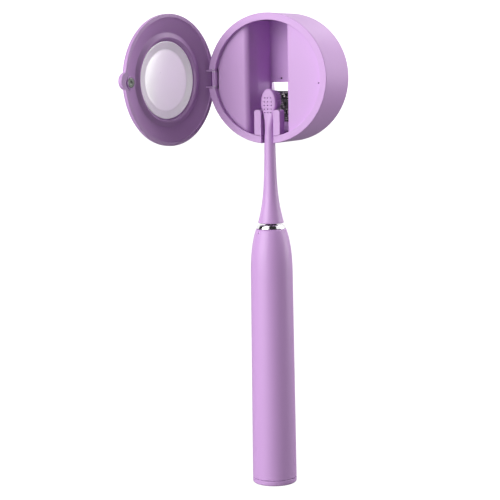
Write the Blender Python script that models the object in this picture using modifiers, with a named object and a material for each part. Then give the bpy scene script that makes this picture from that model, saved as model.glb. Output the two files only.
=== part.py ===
"""Round wall-hung toothbrush sanitizer with its lid open and a toothbrush hanging in its fork.

Frame: the origin is the centre of the wall face (the back of the adhesive pad), +Y points into
the wall, +Z points up and the case opens towards -Y. Lengths in this file are in millimetres and
become metres in at(). "Depth" is measured into the case, from the plane of its front rim.
"""
import math

import bmesh
import bpy
from mathutils import Matrix, Vector

MM = 0.001
GAP = 0.3                      # clearance between pieces that touch
NAME = "toothbrush_sanitizer"

# Case
CASE_RADIUS = 41.0
CASE_DEPTH = 36.4
CASE_WALL = 2.2
RIM_WIDTH = 4.5                # flat front rim
RIM_THICKNESS = 3.2
INNER_RADIUS = CASE_RADIUS - CASE_WALL
RIM_INNER = CASE_RADIUS - RIM_WIDTH
CASE_STEPS = 96

# Wall plate behind the case
PAD_THICKNESS = 0.9
PLATE_THICKNESS = 1.5
BACK_GAP = PAD_THICKNESS + PLATE_THICKNESS + 2 * GAP
FRONT = -(CASE_DEPTH + BACK_GAP)   # Y of the front rim
HOOK_X = 17.0
HOOK_Z = 13.0
HOOK_HEAD_RADIUS = 2.9
HOOK_STEM_RADIUS = 1.5
CASE_LIFT = 8.0                # travel that frees the case from its hooks

# Liner: side panels and the central channel
PANEL_DEPTH = RIM_THICKNESS + GAP
LINER_THICKNESS = 1.4
CHANNEL_FRONT = 12.7           # half-widths
CHANNEL_BACK = 11.9
CHANNEL_DEPTH = 31.2
WINDOW_HALF = 10.9
WINDOW_TOP = -2.9
WINDOW_BOTTOM = -28.4
COVER_THICKNESS = 1.4
COVER_DEPTH = CASE_DEPTH - COVER_THICKNESS

# Fork that the toothbrush hangs in
SLOT_HALF = 4.3
SLOT_DEPTH = 14.3
PRONG_OUTER = 8.8
PRONG_TOP = -19.7
PRONG_DEPTH = 7.3
FORK_BASE_TOP = -33.8
FORK_BASE_DEPTH = 20.0

# Hinge and lid
PIN_X = -37.7
PIN_DEPTH = 2.87
PIN_RADIUS = 0.8
PIN_BORE = 0.86
LID_ANGLE = 103.7              # degrees from closed to the open stop, where the lid rests
NOTCH_HALF = 6.0
NOTCH_DEPTH = 6.3
NOTCH_INNER = -35.2
KNUCKLE_HALF = 4.4
KNUCKLE_RADIUS = 1.75
CHEEK_INNER = 4.75
CHEEK_OUTER = 5.75
CHEEK_RADIUS = 1.8
LID_TOP = -GAP                 # closed lid's inner rim, just in front of the case rim
LENS_RADIUS = 24.6
MAGNET_X = 35.6
MAGNET_Z = -1.0
MAGNET_RADIUS = 2.8

# Toothbrush
BRUSH_DEPTH = 3.9              # depth of its axis
HEAD_TOP = -6.5
HEAD_BOTTOM = -91.6
HANDLE_TOP = -95.2
HANDLE_BOTTOM = -256.2
CAP_BOTTOM = -260.0
SHAFT_RADIUS = 1.9
BUTTON_Z = -128.0
BUTTON_RADIUS = 4.5
HANDLE_WALL = 1.6
BRUSH_STEPS = 48

LILAC = (0.70, 0.42, 0.80)
DEEP_LILAC = (0.55, 0.31, 0.64)
WHITE = (0.90, 0.89, 0.91)
CHARCOAL = (0.025, 0.025, 0.028)
STEEL = (0.62, 0.62, 0.64)
GREEN_BOARD = (0.03, 0.13, 0.07)


def at(x, depth, z):
    """World position in metres of a point given in millimetres."""
    return Vector((x, FRONT + depth, z)) * MM


# ---------------------------------------------------------------- scene and materials

def start_scene():
    for old in list(bpy.data.objects):
        bpy.data.objects.remove(old, do_unlink=True)
    parts = bpy.data.collections.new(NAME)
    tools = bpy.data.collections.new("construction")
    for folder in (parts, tools):
        bpy.context.scene.collection.children.link(folder)
    return parts, tools


PARTS, TOOLS = start_scene()


def material(name, colour, roughness, metallic=0.0):
    made = bpy.data.materials.new(name)
    made.use_nodes = True
    shader = made.node_tree.nodes["Principled BSDF"]
    shader.inputs["Base Color"].default_value = (*colour, 1.0)
    shader.inputs["Roughness"].default_value = roughness
    shader.inputs["Metallic"].default_value = metallic
    return made


def add_object(name, mesh, location):
    made = bpy.data.objects.new(name, mesh)
    made.location = location
    TOOLS.objects.link(made)
    made.hide_render = True
    made.display_type = "WIRE"
    return made


def finish(piece, colour, roughness=0.4, metallic=0.0):
    """Move a construction solid to the model as a finished part with its own material."""
    TOOLS.objects.unlink(piece)
    PARTS.objects.link(piece)
    piece.hide_render = False
    piece.display_type = "TEXTURED"
    piece.data.materials.append(material(piece.name, colour, roughness, metallic))
    return piece


# ---------------------------------------------------------------- basic solids

def block(name, x, depth, z):
    """Box between the given (low, high) pairs."""
    work = bmesh.new()
    bmesh.ops.create_cube(work, size=1.0)
    size = Vector((x[1] - x[0], depth[1] - depth[0], z[1] - z[0])) * MM
    bmesh.ops.scale(work, vec=size, verts=work.verts)
    mesh = bpy.data.meshes.new(name)
    work.to_mesh(mesh)
    work.free()
    middle = at(sum(x) / 2, sum(depth) / 2, sum(z) / 2)
    return add_object(name, mesh, middle)


def rod(name, centre, radius, length, along="depth", segments=32):
    """Cylinder about a middle point, along the depth axis or upright."""
    work = bmesh.new()
    bmesh.ops.create_cone(work, cap_ends=True, segments=segments, radius1=radius * MM,
                          radius2=radius * MM, depth=length * MM)
    mesh = bpy.data.meshes.new(name)
    work.to_mesh(mesh)
    work.free()
    made = add_object(name, mesh, at(*centre))
    if along == "depth":
        made.rotation_euler.x = math.radians(90)
    return made


def turned(name, profile, upright=False, centre=(0.0, 0.0), steps=CASE_STEPS):
    """Solid of revolution. The profile holds (radius, height) points from the top down its outer
    side; a profile that leaves the axis closed starts and ends at radius 0, and any other is a ring.
    Height is depth into the case, or Z when upright."""
    mesh = bpy.data.meshes.new(name)
    points = [(radius * MM, 0.0, height * MM) for radius, height in profile]
    edges = [(i, i + 1) for i in range(len(points) - 1)]
    if profile[0][0] > 0 or profile[-1][0] > 0:
        edges.append((len(points) - 1, 0))
    mesh.from_pydata(points, edges, [])
    if upright:
        made = add_object(name, mesh, at(centre[0], centre[1], 0))
    else:
        made = add_object(name, mesh, at(centre[0], 0, centre[1]))
        made.rotation_euler.x = math.radians(-90)
    screw = made.modifiers.new("turn", "SCREW")
    screw.angle = math.radians(360)
    screw.steps = steps
    screw.render_steps = steps
    screw.use_merge_vertices = True
    screw.merge_threshold = 0.00001
    return made


def slab(name, outline, span, across="z"):
    """Flat outline given a thickness. Across z the outline holds (x, depth) points and the span
    is in Z; across depth it holds (x, z) points and the span is in depth."""
    middle = sum(span) / 2
    if across == "z":
        points = [Vector((x, depth, 0)) * MM for x, depth in outline]
        location = at(0, 0, middle)
    else:
        points = [Vector((x, 0, z)) * MM for x, z in outline]
        location = at(0, middle, 0)
    mesh = bpy.data.meshes.new(name)
    mesh.from_pydata(points, [], [list(range(len(points)))])
    made = add_object(name, mesh, location)
    solidify = made.modifiers.new("thickness", "SOLIDIFY")
    solidify.thickness = (span[1] - span[0]) * MM
    solidify.offset = 0.0
    return made


def arc(centre, radius, start, end, count):
    """Points on a circle from start to end degrees, both included."""
    angles = [math.radians(start + (end - start) * i / count) for i in range(count + 1)]
    return [(centre[0] + radius * math.cos(a), centre[1] + radius * math.sin(a)) for a in angles]


def rounded_square(half, radius, count=6):
    inset = half - radius
    corners = ((inset, inset, 0), (-inset, inset, 90), (-inset, -inset, 180), (inset, -inset, 270))
    return [p for x, z, turn in corners for p in arc((x, z), radius, turn, turn + 90, count)]


# ---------------------------------------------------------------- joining and cutting

def boolean(target, other, operation):
    step = target.modifiers.new(f"{operation.lower()} {other.name}", "BOOLEAN")
    step.operation = operation
    step.object = other
    step.solver = "EXACT"
    return target


def cut(target, *cutters):
    for cutter in cutters:
        boolean(target, cutter, "DIFFERENCE")
    return target


def unite(target, *others):
    for other in others:
        boolean(target, other, "UNION")
    return target


def keep_within(target, other):
    return boolean(target, other, "INTERSECT")


def bevel(target, width, segments=2, angle=40):
    step = target.modifiers.new("bevel", "BEVEL")
    step.width = width * MM
    step.segments = segments
    step.limit_method = "ANGLE"
    step.angle_limit = math.radians(angle)
    return target


# ---------------------------------------------------------------- wall plate

def build_wall_plate():
    pad = slab("adhesive_pad", rounded_square(22, 5), (-FRONT - PAD_THICKNESS, -FRONT), "depth")
    finish(pad, WHITE, 0.9)
    back = -FRONT - PAD_THICKNESS - GAP
    plate = slab("wall_plate", rounded_square(25, 6), (back - PLATE_THICKNESS, back), "depth")
    head_depth = COVER_DEPTH - 1.4
    for side in (-1, 1):
        stem = rod("hook stem", (side * HOOK_X, (head_depth + back) / 2, HOOK_Z),
                   HOOK_STEM_RADIUS, back - head_depth - 0.6)
        head = rod("hook head", (side * HOOK_X, head_depth + 0.5, HOOK_Z), HOOK_HEAD_RADIUS, 1.0)
        unite(plate, stem, head)
    finish(plate, LILAC)


# ---------------------------------------------------------------- case

SCREW_RING = 35.6
SCREW_BOSS = 3.6
SCREW_PLACES = [(SCREW_RING * math.cos(math.radians(a)), SCREW_RING * math.sin(math.radians(a)))
                for a in (45, 135, 225, 315)]
USB_ANGLE = 205                # degrees round the case from +X, on the side away from the lid tab
USB_DEPTH = 20.0


def radial_block(name, radii, depth, width):
    """Box standing on the case wall at the charging socket, radii measured from the case axis."""
    made = block(name, radii, depth, (-width / 2, width / 2))
    turn = Matrix.Rotation(math.radians(-USB_ANGLE), 4, "Y")
    middle = Vector((sum(radii) / 2, 0, 0)) * MM
    made.rotation_euler = turn.to_euler()
    made.location = turn @ middle + at(0, sum(depth) / 2, 0)
    return made


def build_case_shell():
    shell = turned("case_shell", [
        (INNER_RADIUS, CASE_DEPTH), (CASE_RADIUS - 0.4, CASE_DEPTH), (CASE_RADIUS, CASE_DEPTH - 0.4),
        (CASE_RADIUS, 0.5), (CASE_RADIUS - 0.15, 0.15), (CASE_RADIUS - 0.5, 0.0),
        (RIM_INNER + 0.3, 0.0), (RIM_INNER, 0.3), (RIM_INNER, RIM_THICKNESS),
        (INNER_RADIUS, RIM_THICKNESS)])
    slot = block("shell slot", (-SLOT_HALF, SLOT_HALF), (-1, SLOT_DEPTH), (-45, -32))
    notch = block("shell notch", (-44, -34), (-1, NOTCH_DEPTH), (-NOTCH_HALF, NOTCH_HALF))
    cut(shell, slot, notch)
    height = (-KNUCKLE_HALF, KNUCKLE_HALF)
    base = block("knuckle base", (-40.2, -35.95), (NOTCH_DEPTH - 0.1, 9.0), height)
    web = block("knuckle web", (PIN_X - KNUCKLE_RADIUS, PIN_X + KNUCKLE_RADIUS),
                (PIN_DEPTH, NOTCH_DEPTH + 0.5), height)
    barrel = rod("knuckle barrel", (PIN_X, PIN_DEPTH, 0), KNUCKLE_RADIUS, 2 * KNUCKLE_HALF, "up", 24)
    unite(shell, base, web, barrel)
    for x, z in SCREW_PLACES:
        unite(shell, rod("screw boss", (x, (22 + COVER_DEPTH - GAP) / 2, z), SCREW_BOSS,
                         COVER_DEPTH - GAP - 22, segments=20))
    for x, z in SCREW_PLACES:
        cut(shell, rod("screw hole", (x, 31, z), 1.2, 12, segments=12))
    cut(shell, rod("pin hole", (PIN_X, PIN_DEPTH, 0), PIN_BORE, 12, "up", 24))
    cut(shell, radial_block("socket hole", (35, 45), (USB_DEPTH - 4.8, USB_DEPTH + 4.8), 3.9))
    finish(shell, LILAC)
    pin = rod("hinge_pin", (PIN_X, PIN_DEPTH, 0), PIN_RADIUS, 2 * (NOTCH_HALF - 0.1), "up", 24)
    finish(pin, STEEL, 0.25, 1.0)


def liner_section():
    """Front surface of the liner as (x, depth) points: panel, channel and panel again."""
    left = [(-39.5, PANEL_DEPTH), (-16.2, PANEL_DEPTH), (-14.8, PANEL_DEPTH + 0.5),
            (-13.8, PANEL_DEPTH + 1.7), (-13.1, 8.5), (-12.6, 14.0)]
    right = [(CHANNEL_FRONT, PANEL_DEPTH + 1.1), (CHANNEL_FRONT + 0.35, PANEL_DEPTH + 0.35),
             (CHANNEL_FRONT + 1.1, PANEL_DEPTH), (39.5, PANEL_DEPTH)]
    return left + [(-CHANNEL_BACK, CHANNEL_DEPTH), (CHANNEL_BACK, CHANNEL_DEPTH)] + right


def build_liner():
    section = [Vector((x, depth, 0)) * MM for x, depth in liner_section()]
    half = Vector((0, 0, 39.5)) * MM
    rows = [p - half for p in section] + [p + half for p in section]
    count = len(section)
    faces = [(i, i + 1, i + 1 + count, i + count) for i in range(count - 1)]
    mesh = bpy.data.meshes.new("chamber_liner")
    mesh.from_pydata(rows, [], faces)
    liner = add_object("chamber_liner", mesh, at(0, 0, 0))
    thickness = liner.modifiers.new("thickness", "SOLIDIFY")
    thickness.thickness = LINER_THICKNESS * MM
    thickness.offset = -1.0
    thickness.use_even_offset = True
    keep_within(liner, rod("liner outline", (0, 18, 0), INNER_RADIUS - GAP, 44, segments=CASE_STEPS))
    for z in (-31.2, -33.2, -35.2):
        unite(liner, block("drip rib", (-11.0, 11.0), (CHANNEL_DEPTH - 0.9, CHANNEL_DEPTH + 0.7),
                           (z - 0.4, z + 0.4)))
    window = block("window", (-WINDOW_HALF, WINDOW_HALF), (28, 36), (WINDOW_BOTTOM, WINDOW_TOP))
    notch = block("liner notch", (-44, NOTCH_INNER), (-1, 12), (-NOTCH_HALF - GAP, NOTCH_HALF + GAP))
    cut(liner, window, notch)
    for side in (-1, 1):
        cut(liner, rod("sensing hole", (side * 4.5, CHANNEL_DEPTH, 0.4), 0.55, 6, segments=12))
    cut(liner, rod("lid sensor hole", (34.2, PANEL_DEPTH, -3.3), 0.5, 6, segments=12))
    finish(liner, LILAC)


def build_fork():
    fork = block("brush_fork", (-PRONG_OUTER, PRONG_OUTER), (0, PRONG_DEPTH), (-40, PRONG_TOP))
    bevel(fork, 1.0, 3)
    unite(fork, block("fork foot", (-PRONG_OUTER + 0.05, PRONG_OUTER - 0.05), (3.5, FORK_BASE_DEPTH),
                      (-40.5, FORK_BASE_TOP)))
    cut(fork, block("fork slot", (-SLOT_HALF, SLOT_HALF), (-1, SLOT_DEPTH), (-45, -15)))
    inside = turned("fork outline", [
        (0, 30), (INNER_RADIUS - GAP, 30), (INNER_RADIUS - GAP, RIM_THICKNESS + GAP),
        (RIM_INNER - GAP, RIM_THICKNESS + GAP), (RIM_INNER - GAP, -2), (0, -2)])
    keep_within(fork, inside)
    finish(fork, LILAC)


def build_back_cover():
    cover = rod("back_cover", (0, COVER_DEPTH + COVER_THICKNESS / 2, 0), INNER_RADIUS - GAP,
                COVER_THICKNESS, segments=CASE_STEPS)
    window = block("cover window", (-WINDOW_HALF - 0.9, WINDOW_HALF + 0.9), (30, 40),
                   (WINDOW_BOTTOM - 0.9, WINDOW_TOP + 0.9))
    cut(cover, window)
    for side in (-1, 1):
        x = side * HOOK_X
        low = HOOK_Z - CASE_LIFT
        slot = HOOK_STEM_RADIUS + GAP
        cut(cover, rod("keyhole entry", (x, COVER_DEPTH, low), HOOK_HEAD_RADIUS + 0.5, 8))
        cut(cover, block("keyhole slot", (x - slot, x + slot), (30, 40), (low, HOOK_Z)))
        cut(cover, rod("keyhole seat", (x, COVER_DEPTH, HOOK_Z), slot + 0.15, 8))
    for x, z in SCREW_PLACES:
        cut(cover, rod("cover hole", (x, COVER_DEPTH, z), 1.25, 8, segments=12))
        cut(cover, rod("counterbore", (x, CASE_DEPTH + 1.1, z), 2.2, 4, segments=16))
    finish(cover, DEEP_LILAC)
    for number, (x, z) in enumerate(SCREW_PLACES, 1):
        screw = rod(f"back_cover_screw_{number}", (x, 31.6, z), 0.95, 8.8, segments=12)
        unite(screw, rod("screw head", (x, CASE_DEPTH - 0.35, z), 1.9, 0.5, segments=16))
        finish(screw, STEEL, 0.3, 1.0)


def build_lamp():
    tray = block("lamp_tray", (-WINDOW_HALF - 0.6, WINDOW_HALF + 0.6), (32.9, 36.2),
                 (WINDOW_BOTTOM - 0.6, WINDOW_TOP + 0.6))
    cut(tray, block("tray hollow", (-WINDOW_HALF, WINDOW_HALF), (30, 35.6), (WINDOW_BOTTOM, WINDOW_TOP)))
    finish(tray, WHITE, 0.3)
    board = block("lamp_board", (-10.3, 10.3), (34.1, 35.2), (-28.0, -8.6))
    chips = (((-9, -5.6), (33.2, 34.2), (-19.5, -15.2)), ((-3.4, 1.6), (33.0, 34.2), (-18.9, -15.8)),
             ((3.2, 8.6), (33.3, 34.2), (-20.5, -15.0)), ((-8.6, -3.0), (33.1, 34.2), (-26.5, -22.0)),
             ((-1.2, 2.8), (32.9, 34.2), (-26.2, -21.8)), ((5.0, 9.4), (33.0, 34.2), (-27.0, -22.6)))
    for span in chips:
        unite(board, block("board chip", *span))
    finish(board, CHARCOAL, 0.5)
    for number, x in enumerate((-7.5, -2.9, 2.9, 7.5), 1):
        led = block(f"uv_led_{number}", (x - 1.6, x + 1.6), (32.9, 33.8), (-13.6, -10.4))
        bevel(led, 0.15, 1)
        finish(led, (0.75, 0.72, 0.60), 0.2, 0.6)


def build_electronics():
    cell = block("battery_cell", (-31, -16), (9.5, 15.5), (-12, 20))
    bevel(cell, 1.2, 2)
    finish(cell, (0.35, 0.37, 0.42), 0.35, 0.6)
    board = block("main_board", (16, 32), (20, 21.2), (-17, 19))
    for span in (((18, 25), (18.8, 20.1), (-3, 4)), ((19, 23), (17.6, 20.1), (8, 13)),
                 ((26, 30), (18.2, 20.1), (-12, -8)), ((18, 21), (18.9, 20.1), (-13, -8))):
        unite(board, block("board chip", *span))
    finish(board, GREEN_BOARD, 0.5)
    socket = radial_block("charging_socket", (33.6, 40.4), (USB_DEPTH - 4.45, USB_DEPTH + 4.45), 3.3)
    cut(socket, radial_block("socket mouth", (34.6, 44), (USB_DEPTH - 4.1, USB_DEPTH + 4.1), 2.6))
    finish(socket, STEEL, 0.3, 1.0)
    keeper = rod("catch_plate", (35.2, PANEL_DEPTH + LINER_THICKNESS + GAP + 0.5, 1.2), 2.3, 1.0)
    finish(keeper, STEEL, 0.35, 1.0)
    sensor = rod("lid_sensor", (34.2, PANEL_DEPTH + LINER_THICKNESS + GAP + 0.8, -3.3), 0.9, 1.6,
                 segments=16)
    finish(sensor, CHARCOAL, 0.5)


# ---------------------------------------------------------------- lid, built closed

def cheek_outline():
    """Hinge cheek as (x, depth) points: a foot on the lid and a round end about the pin."""
    foot = [(PIN_X - CHEEK_RADIUS, -2.1), (PIN_X + 2.8, -2.1), (PIN_X + 2.8, -0.9)]
    return foot + arc((PIN_X, PIN_DEPTH), CHEEK_RADIUS, -20, 180, 12)


def build_lid():
    liner = turned("lid_liner", [
        (24.9, -4.2), (25.6, -2.5), (26.2, -2.25), (26.9, -2.35), (29.5, -3.6), (37.9, -1.25),
        (38.6, -1.0), (38.75, LID_TOP - 0.1), (39.0, LID_TOP), (CASE_RADIUS - 0.35, LID_TOP),
        (CASE_RADIUS, LID_TOP - 0.35), (CASE_RADIUS, -2.4), (39.4, -2.4), (38.6, -2.6),
        (29.5, -4.9), (24.9, -5.2)])
    envelope = turned("lid envelope", [(0, 1), (CASE_RADIUS, 1), (CASE_RADIUS, -2.35), (39.3, -2.35),
                                       (38.6, -2.5), (29.5, -4.8), (26, -5.0), (0, -5.0)])
    tab = rod("finger tab", (39.1, (LID_TOP - 2.4) / 2, 0), 5.5, 2.4 + LID_TOP, segments=48)
    bevel(tab, 0.3, 1)
    cut(tab, rod("tab cut", (0, 0, 0), 39.6, 12, segments=CASE_STEPS))
    boss = rod("magnet boss", (MAGNET_X, -2.95, MAGNET_Z), 3.9, 4.1, segments=32)
    keep_within(boss, envelope)
    relief = slab("hinge relief", [(-35.2, LID_TOP), (-35.2, 2), (-43, 2), (-43, -2.15)], (-11, 11))
    unite(liner, tab, boss)
    cut(liner, relief)
    for low, high in ((-CHEEK_OUTER, -CHEEK_INNER), (CHEEK_INNER, CHEEK_OUTER)):
        unite(liner, slab("hinge cheek", cheek_outline(), (low, high)))
    cut(liner, rod("magnet pocket", (MAGNET_X, -0.9, MAGNET_Z), MAGNET_RADIUS + 0.25, 3.2),
        rod("lid pin hole", (PIN_X, PIN_DEPTH, 0), PIN_BORE, 14, "up", 24))
    finish(liner, DEEP_LILAC)

    shell = turned("lid_shell", [
        (0, -6.7), (20, -6.7), (29.5, -5.4), (38.4, -2.95), (39.2, -2.7), (40.8, -2.7),
        (40.8, -3.0), (40.2, -3.6), (38.5, -4.4), (36, -5.3), (30, -6.8), (20, -7.9), (0, -8.1)])
    shell_tab = rod("shell tab", (39.1, -3.0, 0), 5.2, 0.6, segments=48)
    cut(shell_tab, rod("shell tab cut", (0, 0, 0), 39.6, 12, segments=CASE_STEPS))
    unite(shell, shell_tab)
    finish(shell, LILAC)

    reflector = turned("lid_reflector", [
        (0, -5.0), (19.3, -5.0), (24.3, -3.7), (LENS_RADIUS, -3.8), (LENS_RADIUS, -4.6),
        (24.2, -4.8), (19.0, -6.1), (0, -6.1)])
    finish(reflector, WHITE, 0.15)
    magnet = rod("lid_magnet", (MAGNET_X, -1.7, MAGNET_Z), MAGNET_RADIUS, 1.4)
    finish(magnet, (0.20, 0.21, 0.19), 0.45, 0.6)

    axis = bpy.data.objects.new("lid_hinge_axis", None)
    axis.location = at(PIN_X, PIN_DEPTH, 0)
    PARTS.objects.link(axis)
    pieces = [liner, shell, reflector, magnet]
    tools = [step.object for piece in pieces for step in piece.modifiers if step.type == "BOOLEAN"]
    nested = [step.object for tool in tools for step in tool.modifiers if step.type == "BOOLEAN"]
    for piece in dict.fromkeys(pieces + tools + nested):
        piece.parent = axis
        piece.matrix_parent_inverse = Matrix.Translation(-axis.location)
    axis.rotation_euler.z = math.radians(-LID_ANGLE)


# ---------------------------------------------------------------- toothbrush

def handle_radius(z):
    """Outer radius of the handle: a quick shoulder under the collar, then a slow taper."""
    shoulder = 34.0
    part = min((HANDLE_TOP - z) / shoulder, 1.0)
    swell = 9.65 + 3.75 * (1 - (1 - part) ** 3)
    return swell + 0.75 * max(HANDLE_TOP - shoulder - z, 0) / 126.0


def neck_radius(z):
    """Outer radius of the replaceable head below its oval, down to its skirt."""
    flare_top = -62.9
    if z > flare_top:
        return 3.8
    return 3.8 + 4.4 * ((flare_top - z) / (flare_top - HEAD_BOTTOM)) ** 1.7


def head_section(z):
    """Half-width, half-depth and centre depth of the head at a height."""
    if z < -34.0:
        radius = neck_radius(z)
        return radius, radius, BRUSH_DEPTH
    oval = ((HEAD_TOP, 0.6), (-7.1, 1.5), (-7.9, 2.1), (-9.3, 3.0), (-10.7, 3.65), (-12.1, 4.15),
            (-13.5, 4.55), (-15.0, 4.8), (-17.0, 4.9), (-18.4, 4.7), (-19.4, 4.3), (-20.3, 4.0),
            (-23.0, 3.5), (-26.0, 3.5), (-34.0, 3.8))
    for (high, wide), (low, narrow) in zip(oval, oval[1:]):
        if z >= low:
            width = wide + (narrow - wide) * (high - z) / (high - low)
            break
    blend = min(max((-20.5 - z) / 13.5, 0.0), 1.0)
    smooth = blend * blend * (3 - 2 * blend)
    thickness = 2.0 * min(1.0, 0.55 + (HEAD_TOP - z) / 4.0)
    return width, thickness + (3.8 - thickness) * smooth, 3.2 + (BRUSH_DEPTH - 3.2) * smooth


def build_brush_head():
    heights = [HEAD_TOP, -7.1, -7.9, -9.3, -10.7, -12.1, -13.5, -15.0, -17.0, -18.4, -19.4, -20.3,
               -23.0, -26.0, -30.0, -34.0, -62.9, -67.0, -71.0, -75.0, -79.0, -83.0, -87.0, -91.0]
    rings = [(z, *head_section(z)) for z in heights]
    lip = neck_radius(-91.0) - 0.4
    rings.append((HEAD_BOTTOM, lip, lip, BRUSH_DEPTH))
    sides = 28
    work = bmesh.new()
    loops = []
    for z, width, depth, centre in rings:
        turn = [2 * math.pi * i / sides for i in range(sides)]
        loops.append([work.verts.new(at(width * math.cos(a), centre + depth * math.sin(a), z))
                      for a in turn])
    for upper, lower in zip(loops, loops[1:]):
        for i in range(sides):
            work.faces.new((upper[i], lower[i], lower[(i + 1) % sides], upper[(i + 1) % sides]))
    work.faces.new(loops[0])
    work.faces.new(list(reversed(loops[-1])))
    bmesh.ops.recalc_face_normals(work, faces=work.faces)
    axis_place = at(0, BRUSH_DEPTH, 0)
    bmesh.ops.translate(work, vec=-axis_place, verts=work.verts)
    mesh = bpy.data.meshes.new("toothbrush_head")
    work.to_mesh(mesh)
    work.free()
    head = add_object("toothbrush_head", mesh, axis_place)
    cut(head, rod("shaft socket", (0, BRUSH_DEPTH, -82), SHAFT_RADIUS + 0.3, 20, "up", 24))
    finish(head, LILAC)

    outline = []
    for i in range(48):
        a = 2 * math.pi * i / 48
        bump = 1 + 0.035 * math.cos(12 * a)
        outline.append((4.3 * bump * math.cos(a), -14.1 + 6.5 * bump * math.sin(a)))
    bristles = slab("toothbrush_bristles", outline, (5.5, 12.6), "depth")
    finish(bristles, DEEP_LILAC, 0.7)
    return head, bristles


def build_handle():
    inner_top = HANDLE_TOP - 2.4
    outer = [(handle_radius(z), z) for z in (HANDLE_TOP, -97, -99, -102, -106, -111, -117, -130, -200)]
    inner = [(handle_radius(z) - HANDLE_WALL, z) for z in (-130, -112, -104)]
    handle = turned("toothbrush_handle", [(4.0, HANDLE_TOP), *outer, (14.15, HANDLE_BOTTOM),
                                          (12.5, HANDLE_BOTTOM), *inner,
                                          (handle_radius(inner_top) - HANDLE_WALL - 0.3, inner_top),
                                          (4.0, inner_top)],
                    upright=True, centre=(0, BRUSH_DEPTH), steps=BRUSH_STEPS)
    cut(handle, rod("button hole", (0, BRUSH_DEPTH + 13, BUTTON_Z), BUTTON_RADIUS + GAP, 8))
    finish(handle, LILAC)

    def part_of_brush(name, profile, colour, roughness=0.4, metallic=0.0):
        made = turned(name, profile, upright=True, centre=(0, BRUSH_DEPTH), steps=BRUSH_STEPS)
        return finish(made, colour, roughness, metallic)

    collar = part_of_brush("toothbrush_collar", [
        (4.0, -92.6), (8.3, -92.6), (8.6, -92.8), (9.4, -94.7), (9.3, -94.9), (4.0, -94.9)],
        (0.8, 0.8, 0.82), 0.06, 1.0)
    seal = part_of_brush("toothbrush_shaft_seal", [
        (2.2, -92.2), (3.2, -92.2), (3.7, -92.7), (3.7, -97.4), (2.2, -97.4)], CHARCOAL, 0.8)
    cap = part_of_brush("toothbrush_end_cap", [
        (0, -251.5), (12.1, -251.5), (12.1, HANDLE_BOTTOM - GAP), (14.15, HANDLE_BOTTOM - GAP),
        (14.15, -258.6), (13.9, -259.3), (13.3, -259.8), (12.5, CAP_BOTTOM), (0, CAP_BOTTOM)], LILAC)
    motor = part_of_brush("toothbrush_motor", [
        (2.3, -120), (5.6, -120), (6.8, -121.2), (6.8, -150), (0, -150), (0, -127), (2.3, -127)],
        STEEL, 0.3, 1.0)
    coil = part_of_brush("toothbrush_charging_coil", [
        (5.0, -243.0), (10.0, -243.0), (10.0, -249.5), (5.0, -249.5)], (0.72, 0.36, 0.16), 0.35, 1.0)
    cell = rod("toothbrush_battery", (0, BRUSH_DEPTH - 2.2, -182), 7.2, 50, "up")
    finish(cell, (0.25, 0.30, 0.42), 0.4)
    board = block("toothbrush_board", (-6.8, 6.8), (BRUSH_DEPTH + 7.2, BRUSH_DEPTH + 8.4), (-225, -118))
    finish(board, GREEN_BOARD, 0.5)
    frame = block("toothbrush_chassis", (-4.4, 4.4), (BRUSH_DEPTH - 10.7, BRUSH_DEPTH - 9.7),
                  (-238, -130))
    for z in (-154, -210):
        unite(frame, block("chassis shelf", (-5.5, 5.5), (BRUSH_DEPTH - 10.2, BRUSH_DEPTH + 6.6),
                           (z - 0.8, z + 0.8)))
    finish(frame, WHITE, 0.6)
    shaft = rod("toothbrush_drive_shaft", (0, BRUSH_DEPTH, -99.5), SHAFT_RADIUS, 52, "up", 24)
    finish(shaft, STEEL, 0.2, 1.0)
    button = rod("toothbrush_button", (0, BRUSH_DEPTH + 11.7, BUTTON_Z), BUTTON_RADIUS, 4.6)
    bevel(button, 0.4, 2)
    finish(button, DEEP_LILAC, 0.6)
    return [handle, collar, seal, cap, motor, coil, cell, board, frame, shaft, button]


def build_toothbrush():
    axis = bpy.data.objects.new("toothbrush_axis", None)
    axis.location = at(0, BRUSH_DEPTH, 0)
    PARTS.objects.link(axis)
    pieces = [*build_brush_head(), *build_handle()]
    for piece in pieces:
        piece.parent = axis
        piece.matrix_parent_inverse = Matrix.Translation(-axis.location)


build_wall_plate()
build_case_shell()
build_liner()
build_fork()
build_back_cover()
build_lamp()
build_electronics()
build_lid()
build_toothbrush()
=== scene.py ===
"""Looks of the round toothbrush sanitizer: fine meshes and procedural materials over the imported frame.

Lengths in this file are in millimetres until place() turns them into metres. "Depth" runs into the
case from the plane of its front rim; the wall is at y = 0 and the case opens towards -y.
"""
import math
import random

import bmesh
import bpy
import numpy as np
from mathutils import Matrix, Vector


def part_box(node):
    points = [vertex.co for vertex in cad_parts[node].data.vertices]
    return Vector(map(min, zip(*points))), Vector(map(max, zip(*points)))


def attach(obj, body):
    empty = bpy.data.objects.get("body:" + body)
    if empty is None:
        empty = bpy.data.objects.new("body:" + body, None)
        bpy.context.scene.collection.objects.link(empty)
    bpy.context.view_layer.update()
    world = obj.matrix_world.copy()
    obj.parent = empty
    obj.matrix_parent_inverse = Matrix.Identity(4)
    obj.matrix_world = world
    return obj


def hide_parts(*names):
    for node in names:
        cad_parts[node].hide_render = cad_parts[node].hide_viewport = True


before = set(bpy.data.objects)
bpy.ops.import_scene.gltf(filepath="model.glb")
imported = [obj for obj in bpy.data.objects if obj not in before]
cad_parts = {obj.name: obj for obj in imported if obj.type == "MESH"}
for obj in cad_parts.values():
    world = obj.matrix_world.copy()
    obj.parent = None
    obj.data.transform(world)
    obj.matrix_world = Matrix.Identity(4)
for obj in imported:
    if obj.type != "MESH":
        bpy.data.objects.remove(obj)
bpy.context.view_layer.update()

MM = 0.001
CASE_DEPTH = 36.4
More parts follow.
